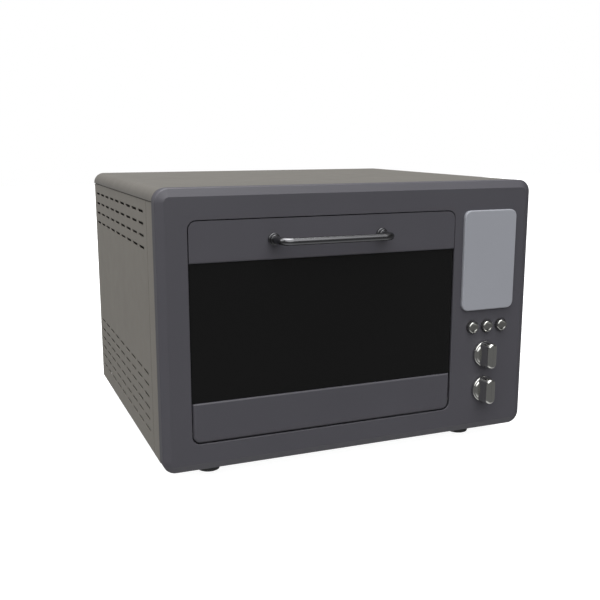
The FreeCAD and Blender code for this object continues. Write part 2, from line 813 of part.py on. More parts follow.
def knob_encoders():
    """Rotary encoders with a bored nose that each knob's shaft turns in."""
    group = []
    for z in (upper_knob_z, lower_knob_z):
        back = board_y
        body = plate("y", control_x - encoder_body / 2, control_x + encoder_body / 2, z - encoder_body / 2,
                     z + encoder_body / 2, back - encoder_depth, back, 1.0)
        nose = rod("y", control_x, z, 0, back - encoder_depth, encoder_nose_radius)
        bore = rod("y", control_x, z, -1, back - 2.0, knob_shaft_radius + slip)
        group.append(joined([body, nose]).cut(bore))
    return group


def knob(z):
    """A round disc with an upright grip bar across it, whose ends follow the disc."""
    disc = rod("y", control_x, z, -knob_disc_front, -knob_disc_back, knob_radius)
    disc = round_level(disc, "y", -knob_disc_front, 1.6)
    grip = plate("y", control_x - knob_grip_width / 2, control_x + knob_grip_width / 2,
                 z - knob_radius, z + knob_radius, -knob_front, -knob_disc_front)
    grip = grip.common(rod("y", control_x, z, -knob_front, -knob_disc_front, knob_radius - 0.6))
    grip = round_level(grip, "y", -knob_front, 2.4)
    bore = rod("y", control_x, z, -knob_shaft_end, 0, knob_shaft_radius + 0.02)
    return joined([disc, grip]).cut(bore)


def knob_shaft(z):
    return rod("y", control_x, z, -knob_shaft_end + gap, board_y - 2.0 - gap, knob_shaft_radius)


def button(x):
    """A domed cap in the bezel's hole, a flange that keeps it in and a stem to its switch."""
    cap = rod("y", x, button_z, -button_proud, bezel_face, button_radius)
    cap = round_level(cap, "y", -button_proud, 2.0)
    flange = rod("y", x, button_z, bezel_face + 0.1, bezel_face + 0.1 + button_flange, button_radius + 1.4)
    neck = rod("y", x, button_z, bezel_face, bezel_face + 0.1, button_radius)
    stem = rod("y", x, button_z, bezel_face, button_stem, button_stem_radius)
    return joined([cap, neck, flange, stem])


def power_board():
    """The mains board on four posts, with a transformer, two relays and a capacitor."""
    x = divider_x + sheet
    y0, z0 = cavity_y0 + power_board_from_front, casing_z0 + power_board_rise
    y1, z1 = y0 + power_board_length, z0 + power_board_height
    board = plate("x", y0, y1, z0, z1, x + board_post, x + board_post + board_sheet, 2.0)
    top = x + board_post + board_sheet
    inset = board_post
    posts = [rod("x", y, z, x, x + board_post, board_post_radius)
             for y in (y0 + inset, y1 - inset) for z in (z0 + inset, z1 - inset)]

    def component(y, size, radius):
        length, tall, out = size
        low = z0 + component_inset
        return plate("x", y, y + length, low, low + tall, top, top + out, radius)
    first = y0 + component_inset
    after = first + transformer[0] + component_inset
    blocks = [component(first, transformer, 2.0), component(after, relay, 1.0),
              component(after + relay_pitch, relay, 1.0),
              rod("x", (y0 + y1) / 2, z1 - 2 * component_inset, top, top + capacitor_height, capacitor_radius)]
    return joined([board] + posts + blocks)


# ---------------------------------------------------------------- door
def door_rail(z0, z1, open_level):
    """A pressed strip with its ends and outer edge folded back, open towards the glass."""
    outer = plate("y", door_x0, door_x1, door_z0, door_z1, 0, rail_depth, door_corner_round)
    low_edge = [e for e in outer.Edges if e.BoundBox.YMax < 1e-4 and e.BoundBox.ZMax < door_z0 + 1e-4]
    outer = outer.makeFillet(door_lower_round, low_edge) if z0 == door_z0 else outer
    band = plate("y", door_x0 - 1, door_x1 + 1, z0, z1, -1, rail_depth + 1)
    skin = door_skin
    low = z0 + skin if open_level > z0 else z0 - 1
    high = z1 + 1 if open_level > z0 else z1 - skin
    hollow = plate("y", door_x0 + skin, door_x1 - skin, low, high, skin, rail_depth + 1)
    strip = outer.common(band)
    keep = strip.cut(hollow)
    corner = plate("y", door_x0 + skin, door_x1 - skin, door_z0 + skin, door_z1 - skin, -1,
                   rail_depth + 1, door_corner_round - skin)
    rims = strip.cut(corner)
    rail = joined([keep, rims])
    beside_glass = [e for e in rail.Edges if e.BoundBox.YMax < 1e-4 and abs(e.BoundBox.ZMin - open_level) < 1e-4
                    and abs(e.BoundBox.ZMax - open_level) < 1e-4]
    return rail.makeFillet(door_edge_round, beside_glass)


def door_top_rail():
    rail = door_rail(glass_z1, door_z1, glass_z1)
    holes = [rod("y", x, handle_z, -1, door_skin + 1, screw_radius + gap) for x in handle_places]
    return rail.cut(holes)


def door_bottom_rail():
    """The lower strip also carries a solid block at each end for the hinge pin."""
    rail = door_rail(door_z0, glass_z0, glass_z0)
    low = door_z0 + door_skin
    block = plate("x", door_skin, rail_depth, low, pivot_z + pin_radius + 5.0,
                  door_x0 + door_skin, door_x0 + pin_in_door + 3.0)
    round_front = plate("y", door_x0, door_x1, door_z0, door_z1, 0, rail_depth, door_corner_round)
    edge = [e for e in round_front.Edges if e.BoundBox.YMax < 1e-4 and e.BoundBox.ZMax < door_z0 + 1e-4]
    round_front = round_front.makeFillet(door_lower_round, edge)
    blocks = [b.common(round_front) for b in mirrored(block, door_mid)]
    rail = joined([rail] + blocks)
    bore = rod("x", pivot_y, pivot_z, door_x0 - 1, door_x0 + pin_in_door, pin_radius + 0.02)
    return rail.cut(mirrored(bore, door_mid))


def door_outer_glass():
    side = door_skin + slip
    pane = plate("y", door_x0, door_x1, glass_z0, glass_z1, glass_recess, glass_back)
    tuck = plate("y", door_x0 + side, door_x1 - side, glass_z0 - glass_tuck, glass_z1 + glass_tuck,
                 glass_recess, glass_back)
    return joined([pane, tuck])


def door_side_channels():
    x0 = door_x0 + door_skin + slip
    bar = plate("z", x0, x0 + channel_width, glass_back + gap, rail_depth, pivot_z + 14, door_z1 - 10)
    hollow = plate("z", x0 + sheet, x0 + channel_width - sheet, glass_back + gap + sheet, rail_depth + 1,
                   pivot_z + 14 - 1, door_z1 - 9)
    return mirrored(bar.cut(hollow), door_mid)


def door_inner_frame():
    """A shallow pan that closes the door's back, with the inner window in it."""
    inset = inner_frame_inset
    fold = inner_frame_sheet
    x0, x1 = door_x0 + inset, door_x1 - inset
    z0, z1 = door_z0 + inner_frame_lower_inset, door_z1 - inset
    pan = plate("y", x0, x1, z0, z1, rail_depth, inner_face, door_corner_round - inset)
    hollow = plate("y", x0 + fold, x1 - fold, z0 + fold, z1 - fold, rail_depth - 1, inner_face - fold,
                   door_corner_round - inset - fold)
    border = inner_frame_border
    window = plate("y", x0 + border, x1 - border, glass_z0 + 6, glass_z1 - 6, rail_depth, inner_face + 1, 8.0)
    return pan.cut([hollow, window])


def door_inner_glass():
    side = inner_frame_inset + inner_frame_border - inner_glass_cover
    back = inner_face - inner_frame_sheet - slip
    return plate("y", door_x0 + side, door_x1 - side, glass_z0 + 6 - inner_glass_cover,
                 glass_z1 - 6 + inner_glass_cover, back - glass_thickness, back, 6.0)


def door_hinge_pins():
    pin = rod("x", pivot_y, pivot_z, door_x0 - door_gap - gap - pin_in_bracket, door_x0 + pin_in_door - gap,
              pin_radius)
    return mirrored(pin, door_mid)


def sector(x0, x1, r0, r1, a0, a1):
    """A flat arc about the door's pivot; angles in degrees from straight back, turning up."""
    def spot(radius, angle):
        turn = math.radians(angle)
        return V(x0, pivot_y + radius * math.cos(turn), pivot_z + radius * math.sin(turn))
    mid = (a0 + a1) / 2
    edges = [Part.Arc(spot(r1, a0), spot(r1, mid), spot(r1, a1)).toShape(),
             Part.makeLine(spot(r1, a1), spot(r0, a1)),
             Part.Arc(spot(r0, a1), spot(r0, mid), spot(r0, a0)).toShape(),
             Part.makeLine(spot(r0, a0), spot(r1, a0))]
    return Part.Face(Part.Wire(edges)).extrude(V(x1 - x0, 0, 0))


def door_arms():
    """Curved arms about the pivot. They run through the front frame and stop the open door."""
    x0, x1 = arm_places[0], arm_places[0] + arm_sheet
    r0, r1 = arm_radius - arm_width / 2, arm_radius + arm_width / 2
    behind = cavity_y0 + gap - pivot_y
    stop = math.degrees(math.acos(behind / (arm_radius - arm_lug / 2))) - 90.0
    start = math.degrees(math.acos((inner_face - pivot_y) / r1)) - 0.5
    arc = sector(x0, x1, r0, r1, stop - 4.0, start + 8.0)
    door_side = plate("x", 0, inner_face, pivot_z - 10, pivot_z + 2 * arm_radius, x0 - 1, x1 + 1)
    lug = sector(x0, x1, arm_radius - arm_lug / 2, arm_radius + arm_lug / 2, stop - 12.0, stop)
    foot = plate("y", x0, x0 + arm_foot_width, pivot_z + r0 - 8, pivot_z + r1 + 8,
                 inner_face, inner_face + arm_foot)
    return mirrored(joined([arc.cut(door_side), lug, foot]), door_mid)


def hinge_brackets():
    """Blocks on the front frame with the running bores for the door's pins."""
    x1 = door_x0 - door_gap - gap
    x0 = x1 - pin_in_bracket - 1.0
    body = plate("x", bezel_face + gap, frame_y, pivot_z - 9, pivot_z + 9, x0, x1)
    tab = plate("x", frame_y - 2.0, frame_y, pivot_z - 9, pivot_z + 26, x0 - 3, x1)
    bore = rod("x", pivot_y, pivot_z, x0 + 0.7, x1 + 1, pin_radius + slip)
    return mirrored(joined([body, tab]).cut(bore), door_mid)


def handle_bar():
    """A round bar bent at both ends to stand on the door's upper strip."""
    x0, x1 = handle_places
    y1 = -handle_reach
    bend = handle_bend
    turn = bend * (1.0 - math.sqrt(0.5))
    z = handle_z
    path = Part.Wire([
        Part.makeLine(V(x0, 0, z), V(x0, y1 + bend, z)),
        Part.Arc(V(x0, y1 + bend, z), V(x0 + turn, y1 + turn, z), V(x0 + bend, y1, z)).toShape(),
        Part.makeLine(V(x0 + bend, y1, z), V(x1 - bend, y1, z)),
        Part.Arc(V(x1 - bend, y1, z), V(x1 - turn, y1 + turn, z), V(x1, y1 + bend, z)).toShape(),
        Part.makeLine(V(x1, y1 + bend, z), V(x1, 0, z)),
    ])
    section = Part.Wire(Part.makeCircle(handle_radius, V(x0, 0, z), V(0, -1, 0)))
    bar = path.makePipeShell([section], True, False)
    holes = [rod("y", x, z, -screw_hold - 1, 1, screw_radius + slip) for x in handle_places]
    return bar.cut(holes)


def handle_flanges():
    group = []
    for x in handle_places:
        base = rod("y", x, handle_z, -flange_base, 0, flange_radius)
        base = round_level(base, "y", -flange_base, 0.8)
        step = rod("y", x, handle_z, -flange_length, 0, flange_step_radius)
        step = round_level(step, "y", -flange_length, 0.7)
        hole = rod("y", x, handle_z, -flange_length - 1, 1, handle_radius + slip)
        group.append(joined([base, step]).cut(hole))
    return group


def handle_screws():
    return [screw("y", x, handle_z, door_skin, 1) for x in handle_places]


# ---------------------------------------------------------------- loose pieces in the cooking space
def wire_rack():
    """A rounded wire loop with close cross wires from front to back."""
    r = rack_wire / 2
    x0, x1 = cavity_x0 + rack_play + r, cavity_x1 - rack_play - r
    y0, y1 = shelf_y0 + r, shelf_y1 - r
    z = cavity_z0 + ledge_rises[1] + gap + r
    c = rack_corner
    loop = [rod("x", y, z, x0 + c, x1 - c, r) for y in (y0, y1)]
    loop += [rod("y", x, z, y0 + c, y1 - c, r) for x in (x0, x1)]
    for i, (x, y) in enumerate([(x1 - c, y1 - c), (x0 + c, y1 - c), (x0 + c, y0 + c), (x1 - c, y0 + c)]):
        elbow = Part.makeTorus(c, r, V(x, y, z), V(0, 0, 1), -180, 180, 90)
        elbow.rotate(V(x, y, z), V(0, 0, 1), i * 90)
        loop.append(elbow)
    count = int((x1 - x0 - 2 * c) / rack_cross_pitch)
    first = (x0 + x1) / 2 - rack_cross_pitch * (count - 1) / 2
    lift = z + rack_cross_lift
    wires = [rod("y", first + i * rack_cross_pitch, lift, y0, y1, rack_cross_wire / 2) for i in range(count)]
    wires.append(rod("x", (y0 + y1) / 2, z, x0, x1, rack_wire / 2))
    return joined(loop + wires)


def baking_tray():
    """A shallow pan whose rim rides on the lowest ledges."""
    play = ledge_width + tray_play
    x0, x1 = cavity_x0 + play, cavity_x1 - play
    y0, y1 = shelf_y0 + ledge_width, shelf_y1 - ledge_width
    z1 = cavity_z0 + ledge_rises[0] + gap + tray_sheet
    z0 = z1 - tray_drop
    pan = plate("z", x0, x1, y0, y1, z0, z1, tray_corner)
    pan = round_level(pan, "z", z0, 3.0)
    rim_play = tray_play
    rim = plate("z", cavity_x0 + rim_play, cavity_x1 - rim_play, shelf_y0, shelf_y1, z1 - tray_sheet, z1, 8.0)
    t = tray_sheet
    hollow = plate("z", x0 + t, x1 - t, y0 + t, y1 - t, z0 + t, z1 + 1, tray_corner - t)
    hollow = round_level(hollow, "z", z0 + t, 2.1)
    return joined([pan, rim]).cut(hollow)


def crumb_tray():
    """A flat tray with a low turned-up edge on the floor of the cooking space."""
    x0, x1 = cavity_x0 + rack_play, cavity_x1 - rack_play
    z0 = cavity_z0 + gap
    tray = plate("z", x0, x1, shelf_y0, shelf_y1, z0, z0 + crumb_lip, 4.0)
    t = tray_sheet
    hollow = plate("z", x0 + t, x1 - t, shelf_y0 + t, shelf_y1 - t, z0 + t, z0 + crumb_lip + 1, 4.0 - t)
    return tray.cut(hollow)


# ---------------------------------------------------------------- patterns and places
button_places = [control_x + button_shift + i * button_pitch for i in (-1, 0, 1)]
handle_mid = door_mid + handle_shift
handle_places = (handle_mid - handle_span / 2, handle_mid + handle_span / 2)
arm_places = (door_x0 + arm_inset, door_x1 - arm_inset - arm_sheet)
foot_places = [(x, y) for x in (-half + foot_inset_x, half - foot_inset_x)
               for y in (foot_inset_y, depth - foot_inset_y)]
rear_screw_places = rear_frame_points()
spacer_z = height - spacer_drop
spacer_places = (-half + left_spacer_inset, half - right_spacer_inset)
gland_x = half - gland_from_right
gland_z = casing_z0 + gland_rise
heater_places = [(y, z) for y in (heater_front, heater_front + heater_pitch)
                 for z in (cavity_z0 + heater_rise, cavity_z1 - heater_drop)]
probe_y = cavity_y0 + probe_from_front
probe_z = cavity_z1 - probe_drop
lamp_y = cavity_y0 + lamp_from_front
lamp_z = cavity_z1 - lamp_drop
fan_x = cavity_mid_x
fan_z = cavity_mid_z
divider_x = door_x1 + divider_gap
knob_shaft_end = knob_front - 5.0

os.makedirs("parts", exist_ok=True)

save("front_bezel", front_bezel())
save("top_cover", top_cover())
save("left_side_panel", side_panel(-1))
save("right_side_panel", side_panel(1))
save("roof_rails", roof_rails())
save("vent_baffles", vent_baffles())
save("rear_panel", rear_panel())
save("rear_screws", rear_screws())
save("rear_spacers", rear_spacers())
save("cable_gland", cable_gland())
save("bottom_plate", bottom_plate())
save("feet", feet())
save("front_frame", front_frame())
save("door_seal", door_seal())
save("cavity_floor", cavity_floor())
save("cavity_ceiling", cavity_ceiling())
save("cavity_left_wall", cavity_side(cavity_x0, -1))
save("cavity_right_wall", cavity_side(cavity_x1, 1))
save("cavity_back_wall", cavity_back_wall())
save("rack_guides", rack_guides())
save("upper_heaters", heaters(cavity_z1 - heater_drop))
save("lower_heaters", heaters(cavity_z0 + heater_rise))
save("heater_insulators", heater_insulators())
save("temperature_probe", temperature_probe())
save("lamp_lens", lamp_lens())
save("lamp_holder", lamp_holder())
save("fan_cover", fan_cover())
save("fan_motor", fan_motor())
save("fan_wheel", fan_wheel())
save("insulation", insulation())
save("divider_shield", divider_shield())
save("display_window", display_window())
save("display_module", display_module())
save("control_board", control_board())
save("button_switches", button_switches())
save("knob_encoders", knob_encoders())
save("power_board", power_board())
save("upper_knob", knob(upper_knob_z))
save("upper_knob_shaft", knob_shaft(upper_knob_z))
save("lower_knob", knob(lower_knob_z))
save("lower_knob_shaft", knob_shaft(lower_knob_z))
for place, x in zip(("left", "middle", "right"), button_places):
    save(place + "_button", button(x))
save("door_top_rail", door_top_rail())
save("door_bottom_rail", door_bottom_rail())
save("door_outer_glass", door_outer_glass())
save("door_side_channels", door_side_channels())
save("door_inner_frame", door_inner_frame())
save("door_inner_glass", door_inner_glass())
save("door_hinge_pins", door_hinge_pins())
save("door_arms", door_arms())
save("hinge_brackets", hinge_brackets())
save("handle_bar", handle_bar())
save("handle_flanges", handle_flanges())
save("handle_screws", handle_screws())
save("wire_rack", wire_rack())
save("baking_tray", baking_tray())
save("crumb_tray", crumb_tray())
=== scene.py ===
import json
import math
import bpy
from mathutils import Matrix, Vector, noise


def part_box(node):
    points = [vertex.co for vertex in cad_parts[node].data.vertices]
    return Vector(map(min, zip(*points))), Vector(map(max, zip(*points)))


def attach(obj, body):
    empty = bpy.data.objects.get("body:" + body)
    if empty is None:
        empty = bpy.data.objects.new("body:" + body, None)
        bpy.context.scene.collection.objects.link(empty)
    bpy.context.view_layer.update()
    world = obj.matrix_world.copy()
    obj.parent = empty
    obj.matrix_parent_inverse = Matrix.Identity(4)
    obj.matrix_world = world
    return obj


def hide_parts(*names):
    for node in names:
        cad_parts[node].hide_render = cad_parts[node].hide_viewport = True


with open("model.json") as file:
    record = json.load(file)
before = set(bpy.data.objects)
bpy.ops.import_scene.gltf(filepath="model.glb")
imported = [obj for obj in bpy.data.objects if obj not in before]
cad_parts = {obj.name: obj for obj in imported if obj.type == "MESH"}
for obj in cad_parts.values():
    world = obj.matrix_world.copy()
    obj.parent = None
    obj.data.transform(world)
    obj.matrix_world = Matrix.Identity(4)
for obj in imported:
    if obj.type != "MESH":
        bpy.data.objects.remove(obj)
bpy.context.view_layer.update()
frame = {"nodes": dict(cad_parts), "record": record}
nodes = frame["nodes"]
scene = bpy.context.scene

MM = 0.001
HAIR = 1e-6     # closer than this is the same place


# ---------------------------------------------------------------- shader maths
class Value:
    """A shader socket that can be added, multiplied and so on; each step adds its Math node."""

    def __init__(self, finish, socket):
        self.finish = finish
        self.socket = socket

    def maths(self, operation, *others):
        return self.finish.node("ShaderNodeMath", {"operation": operation}, *others).out()

    def __add__(self, other):
        return self.maths("ADD", self, other)

    def __mul__(self, other):
        return self.maths("MULTIPLY", self, other)

    def over(self, edge):
        return self.maths("GREATER_THAN", self, edge)

    def under(self, edge):
        return self.maths("LESS_THAN", self, edge)

    def fraction(self):
        return self.maths("FRACT", self)


class Step:
    """A shader node that has been set up; out() gives one of its results."""

    def __init__(self, finish, node):
        self.finish = finish
        self.node = node

    def out(self, name=0):
        return Value(self.finish, self.node.outputs[name])


class Finish:
    """One material: a Principled surface and the nodes that feed it."""

    def __init__(self, name, **constants):
        self.material = bpy.data.materials.new(name)
        self.material.use_nodes = True
        self.tree = self.material.node_tree
        self.tree.nodes.clear()
        self.surface = self.node("ShaderNodeBsdfPrincipled")
        self.node("ShaderNodeOutputMaterial", {}, {"Surface": self.surface.out()})
        self.place = self.node("ShaderNodeTexCoord").out("Object")
        for name, value in constants.items():
            title = name.replace("_", " ").title().replace("Ior", "IOR")
            self.surface.node.inputs[title].default_value = value

    def node(self, kind, settings=None, *inputs):
        """Adds a node, sets its properties, then fills sockets in order or by a {name: value} table."""
        made = self.tree.nodes.new(kind)
        for name, value in (settings or {}).items():
            setattr(made, name, value)
        pairs = []
        for i, value in enumerate(inputs):
            pairs += list(value.items()) if isinstance(value, dict) else [(i, value)]
        for name, value in pairs:
            if isinstance(value, Value):
                self.tree.links.new(value.socket, made.inputs[name])
            else:
                made.inputs[name].default_value = value
        return Step(self, made)

    def feed(self, **links):
        for name, value in links.items():
            self.tree.links.new(value.socket, self.surface.node.inputs[name.replace("_", " ").title()])

    def noise(self, scale, detail=2.0, rough=0.5, stretch=None):
        where = self.place
        if stretch:
            where = self.node("ShaderNodeMapping", {}, {"Vector": where, "Scale": stretch}).out()
        table = {"Vector": where, "Scale": scale, "Detail": detail, "Roughness": rough}
        return self.node("ShaderNodeTexNoise", {}, table).out("Fac")

    def cells(self, scale):
        return self.node("ShaderNodeTexVoronoi", {}, {"Vector": self.place, "Scale": scale}).out("Distance")

    def axes(self):
        parts = self.node("ShaderNodeSeparateXYZ", {}, {"Vector": self.place})
        return [parts.out(i) for i in range(3)]

    def blend(self, amount, first, second):
        """A colour between two, by amount."""
        made = self.node("ShaderNodeMix", {"data_type": "RGBA"}, {"Factor": amount, 6: first, 7: second})
        return made.out(2)

    def bump(self, height, depth, strength=1.0):
        table = {"Height": height, "Distance": depth, "Strength": strength}
        return self.node("ShaderNodeBump", {}, table).out("Normal")


def rgb(red, green, blue):
    """A linear colour from screen values of 0 to 255."""
    def linear(value):
        share = value / 255.0
        return share / 12.92 if share <= 0.04045 else ((share + 0.055) / 1.055) ** 2.4
    return (linear(red), linear(green), linear(blue), 1.0)


def shade(base, factor, lift=0.0):
    """A lighter or darker copy of a colour."""
    return tuple(min(1.0, part * factor + lift) for part in base[:3]) + (1.0,)


def worn_colour(finish, base, spread, scale):
    """Base colour that drifts a little lighter and darker over the surface."""
    light, dark = shade(base, 1 + spread), shade(base, 1 - spread)
    finish.feed(Base_Color=finish.blend(finish.noise(scale, 3.0), dark, light))


# ---------------------------------------------------------------- finishes
def moulded_grey(name, base, rough):
    """Satin moulded or powder-coated skin: a very fine pebble and faint drift in tone."""
    finish = Finish(name, Specular_IOR_Level=0.45)
    worn_colour(finish, base, 0.05, 14.0)
    drift = finish.noise(30.0, 2.0)
    finish.feed(Roughness=drift * 0.08 + (rough - 0.04))
    pebble = finish.noise(2600.0, 1.0)
    finish.feed(Normal=finish.bump(pebble, 0.02 * MM, 0.6))
    return finish.material


def rolled_paint(name, base, rough):
    """Painted sheet: orange-peel ripple, fine flake and a slightly uneven gloss."""
    finish = Finish(name, Specular_IOR_Level=0.5)
    worn_colour(finish, base, 0.06, 9.0)
    finish.feed(Roughness=finish.noise(40.0, 2.0) * 0.1 + (rough - 0.05))
    peel = finish.noise(700.0, 1.5)
    flakes = finish.cells(2400.0)
    finish.feed(Normal=finish.bump(peel * 0.7 + flakes * 0.3, 0.03 * MM, 0.5))
    return finish.material


def plated(name, base, rough):
    """Plated metal with a faint wave and slightly uneven gloss."""
    finish = Finish(name, Metallic=1.0)
    worn_colour(finish, base, 0.03, 60.0)
    finish.feed(Roughness=finish.noise(90.0, 3.0) * 0.03 + rough)
    wave = finish.noise(160.0, 2.0)
    finish.feed(Normal=finish.bump(wave, 0.012 * MM, 0.3))
    return finish.material


def drawn_metal(name, base, rough, along=(1.0, 40.0, 40.0)):
    """Bare or zinc-coated sheet with rolling lines along one direction and cloudy patches."""
    finish = Finish(name, Metallic=1.0)
    lines = finish.noise(60.0, 4.0, 0.6, along)
    cloud = finish.noise(25.0, 3.0)
    finish.feed(Base_Color=finish.blend(lines * 0.5 + cloud * 0.5, shade(base, 0.82), shade(base, 1.12)))
    finish.feed(Roughness=lines * 0.18 + (rough - 0.06))
    finish.feed(Normal=finish.bump(lines, 0.015 * MM, 0.5))
    return finish.material


def rubber(name, base, rough=0.75):
    """Mottled, finely grained skin, for rubber and for glazed ceramic."""
    finish = Finish(name, Specular_IOR_Level=0.3)
    worn_colour(finish, base, 0.15, 50.0)
    finish.feed(Roughness=finish.noise(120.0, 2.0) * 0.15 + (rough - 0.07))
    finish.feed(Normal=finish.bump(finish.noise(1500.0, 2.0), 0.04 * MM, 0.6))
    return finish.material


def enamel(name, base, rough):
    """Speckled enamel of the cooking space."""
    finish = Finish(name, Specular_IOR_Level=0.5)
    specks = finish.cells(900.0).under(0.16)
    finish.feed(Base_Color=finish.blend(specks * 0.6, base, shade(base, 2.6, 0.02)))
    finish.feed(Roughness=finish.noise(60.0, 2.0) * 0.12 + (rough - 0.06))
    finish.feed(Normal=finish.bump(finish.noise(300.0, 2.0), 0.05 * MM, 0.4))
    return finish.material


def tinted_glass(name, base, alpha, gloss):
    """Tinted glass: alpha says how much of what is behind it stays hidden."""
    finish = Finish(name, Specular_IOR_Level=gloss, Alpha=alpha)
    worn_colour(finish, base, 0.08, 6.0)
    finish.feed(Roughness=finish.noise(18.0, 3.0) * 0.03 + 0.035)
    return finish.material


def display_face(name, base):
    """Frosted pane: faint drift in tone, low gloss and a fine etched grain."""
    finish = Finish(name, Specular_IOR_Level=0.35)
    worn_colour(finish, base, 0.03, 10.0)
    finish.feed(Roughness=finish.noise(35.0, 2.0) * 0.08 + 0.36)
    finish.feed(Normal=finish.bump(finish.noise(3000.0, 1.0), 0.01 * MM, 0.4))
    return finish.material


def circuit(name, base):
    """Solder-masked board with copper tracks showing faintly through."""
    finish = Finish(name, Specular_IOR_Level=0.5)
    _, y, z = finish.axes()
    across = ((z + y) * 420.0).fraction().under(0.22)
    patches = finish.noise(120.0, 1.0).over(0.52)
    finish.feed(Base_Color=finish.blend(across * patches, base, shade(base, 1.9, 0.01)))
    finish.feed(Roughness=finish.noise(80.0, 2.0) * 0.1 + 0.3)
    return finish.material


def wool(name, base):
    """Yellowish mineral fibres, matt and deeply uneven."""
    finish = Finish(name, Specular_IOR_Level=0.1)
    fibres = finish.noise(900.0, 6.0, 0.7, (1.0, 1.0, 4.0))
    finish.feed(Base_Color=finish.blend(fibres, shade(base, 0.6), shade(base, 1.25)))
    finish.feed(Roughness=finish.noise(200.0) * 0.1 + 0.85)
    finish.feed(Normal=finish.bump(fibres, 0.6 * MM, 0.9))
    return finish.material


GREY = rgb(76, 75, 81)
WARM = rgb(104, 101, 96)
# Painted light: the side panels carry the same paint as the cover, made lighter here to stand in for more
# light on the sides
SIDE_PAINTED_LIGHTER = rgb(122, 118, 111)

finishes = {
    "bezel_plastic": moulded_grey("bezel skin", GREY, 0.46),
    "door_paint": moulded_grey("door strip skin", GREY, 0.44),
    "cover_paint": rolled_paint("cover paint", WARM, 0.40),
    # the side panels' paint, with painted light: a lighter copy of the cover paint
    "side_paint": rolled_paint("side panel paint", SIDE_PAINTED_LIGHTER, 0.42),
    "rear_paint": rolled_paint("rear panel paint", rgb(80, 79, 78), 0.5),
    # Painted shade: parts seen through the seam gaps and cooling vents are painted dark so these openings
    # read as shadow
    "baffle_paint": rolled_paint("baffle paint", rgb(58, 56, 54), 0.7),
    "zinc_sheet": drawn_metal("zinc-coated sheet", rgb(150, 152, 154), 0.42),
    "screw_steel": drawn_metal("screw steel", rgb(168, 168, 170), 0.32),
    "black_plastic": moulded_grey("black plastic", rgb(34, 34, 35), 0.5),
    "foot_rubber": rubber("foot rubber", rgb(62, 62, 63)),
    "seal_rubber": rubber("seal rubber", rgb(52, 52, 53), 0.6),
    "cavity_enamel": enamel("cooking space enamel", rgb(62, 62, 64), 0.35),
    "guide_steel": drawn_metal("guide steel", rgb(170, 170, 170), 0.3),
    "heater_sheath": drawn_metal("heater sheath", rgb(92, 86, 80), 0.5, (40.0, 1.0, 1.0)),
    "ceramic": rubber("glazed ceramic", rgb(216, 208, 192), 0.35),
    "lamp_glass": tinted_glass("lamp glass", rgb(225, 222, 210), 0.55, 0.5),
    "motor_steel": drawn_metal("motor steel", rgb(120, 120, 122), 0.4),
    "mineral_wool": wool("mineral wool", rgb(198, 184, 148)),
    "display_pane": display_face("display pane", rgb(155, 157, 164)),
    "board_green": circuit("circuit board", rgb(24, 84, 44)),
    "encoder_metal": drawn_metal("control metal", rgb(160, 160, 160), 0.35),
    "knob_chrome": plated("knob chrome", rgb(212, 212, 208), 0.03),
    "button_chrome": plated("button chrome", rgb(188, 188, 184), 0.1),
    "door_glass": tinted_glass("dark door glass", rgb(22, 22, 22), 0.955, 0.25),
    "channel_aluminium": drawn_metal("channel aluminium", rgb(110, 110, 112), 0.4),
    "door_inner_steel": drawn_metal("door pan steel", rgb(148, 148, 150), 0.36),
    "inner_glass": tinted_glass("inner glass", rgb(70, 72, 72), 0.35, 0.4),
    # Painted shade: the handle is chrome, but its colour is darkened well below the knobs' chrome to stand in
    # for dim reflections along the bar
    "handle_chrome": plated("handle chrome", rgb(105, 105, 107), 0.24),
    "rack_chrome": plated("rack wire", rgb(190, 190, 188), 0.16),
    "tray_enamel": enamel("tray enamel", rgb(34, 34, 37), 0.28),
    "tray_steel": drawn_metal("crumb tray sheet", rgb(165, 165, 165), 0.34),
}

for part in frame["record"]["subparts"]:
    mesh = nodes[part["node"]].data
    mesh.materials.clear()
    mesh.materials.append(finishes[part["material_slot"]])


# ---------------------------------------------------------------- modelling by hand
def along(axis, distance):
    """A move of the given distance along x, y or z."""
    return Vector([distance if axis == name else 0.0 for name in "xyz"])


def facing(axis):
    """The turn that points a primitive's own z along x, y or z."""
    return {"x": (0, math.radians(90), 0), "y": (math.radians(-90), 0, 0), "z": (0, 0, 0)}[axis]


def put_down():
    """Back to object mode with nothing selected."""
    if bpy.context.object and bpy.context.object.mode != "OBJECT":
        bpy.ops.object.mode_set(mode="OBJECT")
    bpy.ops.object.select_all(action="DESELECT")


def take_up(piece):
    put_down()
    piece.select_set(True)
    bpy.context.view_layer.objects.active = piece


def settle(piece):
    """Puts the piece's place, turn and size into its mesh."""
    take_up(piece)
    bpy.ops.object.transform_apply(location=True, rotation=True, scale=True)


def choose(piece, kind, test):
    """Selects the points, edges or faces whose test is true, and leaves the piece in edit mode."""
    take_up(piece)
    bpy.ops.object.mode_set(mode="EDIT")
    bpy.ops.mesh.select_mode(type=kind)
    bpy.ops.mesh.select_all(action="DESELECT")
    bpy.ops.object.mode_set(mode="OBJECT")
    mesh = piece.data
    if kind == "FACE":
        for face in mesh.polygons:
            face.select = test(face)
    elif kind == "EDGE":
        for edge in mesh.edges:
            edge.select = test(*(mesh.vertices[i].co for i in edge.vertices))
    else:
        for spot in mesh.vertices:
            spot.select = test(spot.co)
    bpy.ops.object.mode_set(mode="EDIT")


def soften(piece, width, steps, test):
    """Bevels the edges whose two ends pass the test."""
    choose(piece, "EDGE", test)
    bpy.ops.mesh.bevel(offset=width, segments=steps, affect="EDGES")
    put_down()


def face_out(piece):
    """Merges doubles and turns every face outwards."""
    take_up(piece)
    bpy.ops.object.mode_set(mode="EDIT")
    bpy.ops.mesh.select_all(action="SELECT")
    bpy.ops.mesh.remove_doubles(threshold=0.01 * MM)
    bpy.ops.mesh.normals_make_consistent(inside=False)
    put_down()


def merged(name, pieces):
    put_down()
    for piece in pieces:
        piece.select_set(True)
    bpy.context.view_layer.objects.active = pieces[0]
    bpy.ops.object.join()
    pieces[0].name = name
    return pieces[0]


